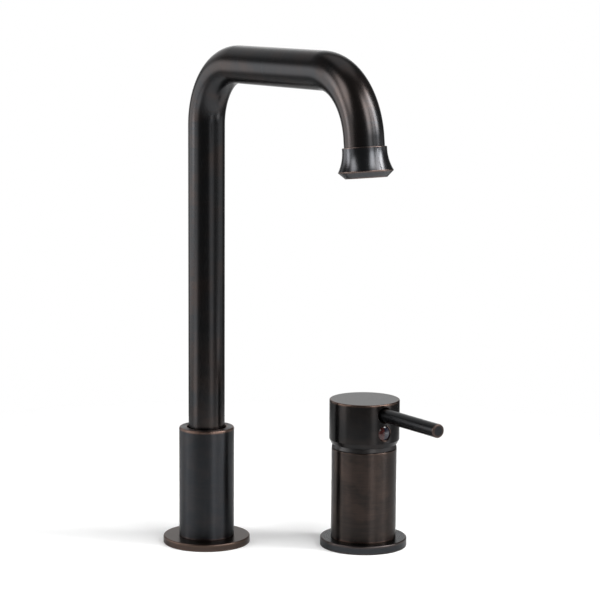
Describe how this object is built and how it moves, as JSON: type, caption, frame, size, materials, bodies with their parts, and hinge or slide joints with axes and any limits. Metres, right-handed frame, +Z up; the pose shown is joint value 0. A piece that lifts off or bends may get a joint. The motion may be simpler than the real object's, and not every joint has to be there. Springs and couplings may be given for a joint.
{
  "type": "basin mixer tap",
  "caption": "Deck-mounted basin mixer tap with a tall swivelling tube spout ending in a bell nozzle, beside a separate round control body with a pin lever over a ceramic cartridge.",
  "frame": {"origin": "on the axis of the spout, at the top face of the worktop that the flanges stand on", "axes": "+Z up; the spout and the lever point along -Y, to the user; +X is to the user's right, where the control stands"},
  "size_m": [0.1475, 0.2338, 0.4065],
  "materials": {
    "dark_bronze": "brass with a satin dark oil-rubbed bronze finish",
    "bare_brass": "machined brass",
    "steel": "plain stainless steel",
    "black_rubber": "matt black rubber",
    "white_plastic": "moulded acetal, satin",
    "black_plastic": "moulded acetal, satin",
    "ceramic": "lapped alumina ceramic",
    "index_gloss": "dark glossy plastic"
  },
  "bodies": {
    "base": {"spout_collar": "dark_bronze", "slide_ring": "black_plastic", "swivel_stop_screw": "steel", "spout_flange": "dark_bronze", "control_flange": "dark_bronze", "spout_flange_seal": "black_rubber", "control_flange_seal": "black_rubber", "spout_rubber_washer": "black_rubber", "control_rubber_washer": "black_rubber", "spout_steel_washer": "steel", "control_steel_washer": "steel", "spout_lock_nut": "bare_brass", "control_lock_nut": "bare_brass", "spout_shank": "bare_brass", "control_shank": "bare_brass", "control_body": "dark_bronze", "cartridge_base": "white_plastic", "fixed_disc": "ceramic", "cartridge_housing": "white_plastic", "cartridge_nut": "bare_brass", "dome_ring": "dark_bronze"},
    "spout": {"spout_tube": "dark_bronze", "spout_nozzle": "dark_bronze", "aerator_washer": "black_rubber", "aerator_housing": "white_plastic", "aerator_insert": "white_plastic", "swivel_end": "bare_brass", "spout_seal": "black_rubber"},
    "turret": {"turret": "white_plastic", "stem_pin": "steel"},
    "handle": {"stem": "bare_brass", "lever_cap": "dark_bronze", "lever_rod": "dark_bronze", "cap_screw": "steel", "index_plug": "index_gloss"},
    "disc_slide": {"disc_carrier": "white_plastic", "moving_disc": "ceramic"}
  },
  "joints": [
    {"name": "spout_swivel", "type": "hinge", "parent": "base", "child": "spout", "pos_m": [0, 0, 0.06], "axis": [0, 0, 1], "range_deg": [-75, 75]},
    {"name": "lever_turn", "type": "hinge", "parent": "base", "child": "turret", "pos_m": [0.0875, -0.065, 0.061], "axis": [0, 0, 1], "range_deg": [-50, 50]},
    {"name": "lever_lift", "type": "hinge", "parent": "turret", "child": "handle", "pos_m": [0.0875, -0.065, 0.061], "axis": [-1, 0, 0], "range_deg": [0, 22]},
    {"name": "disc_slide", "type": "slide", "parent": "turret", "child": "disc_slide", "axis": [0, -1, 0], "range_m": [0, 0.00478]}
  ],
  "couplings": [
    {"joint": "disc_slide", "follows": "lever_lift", "m_per_rad": 0.01242}
  ]
}
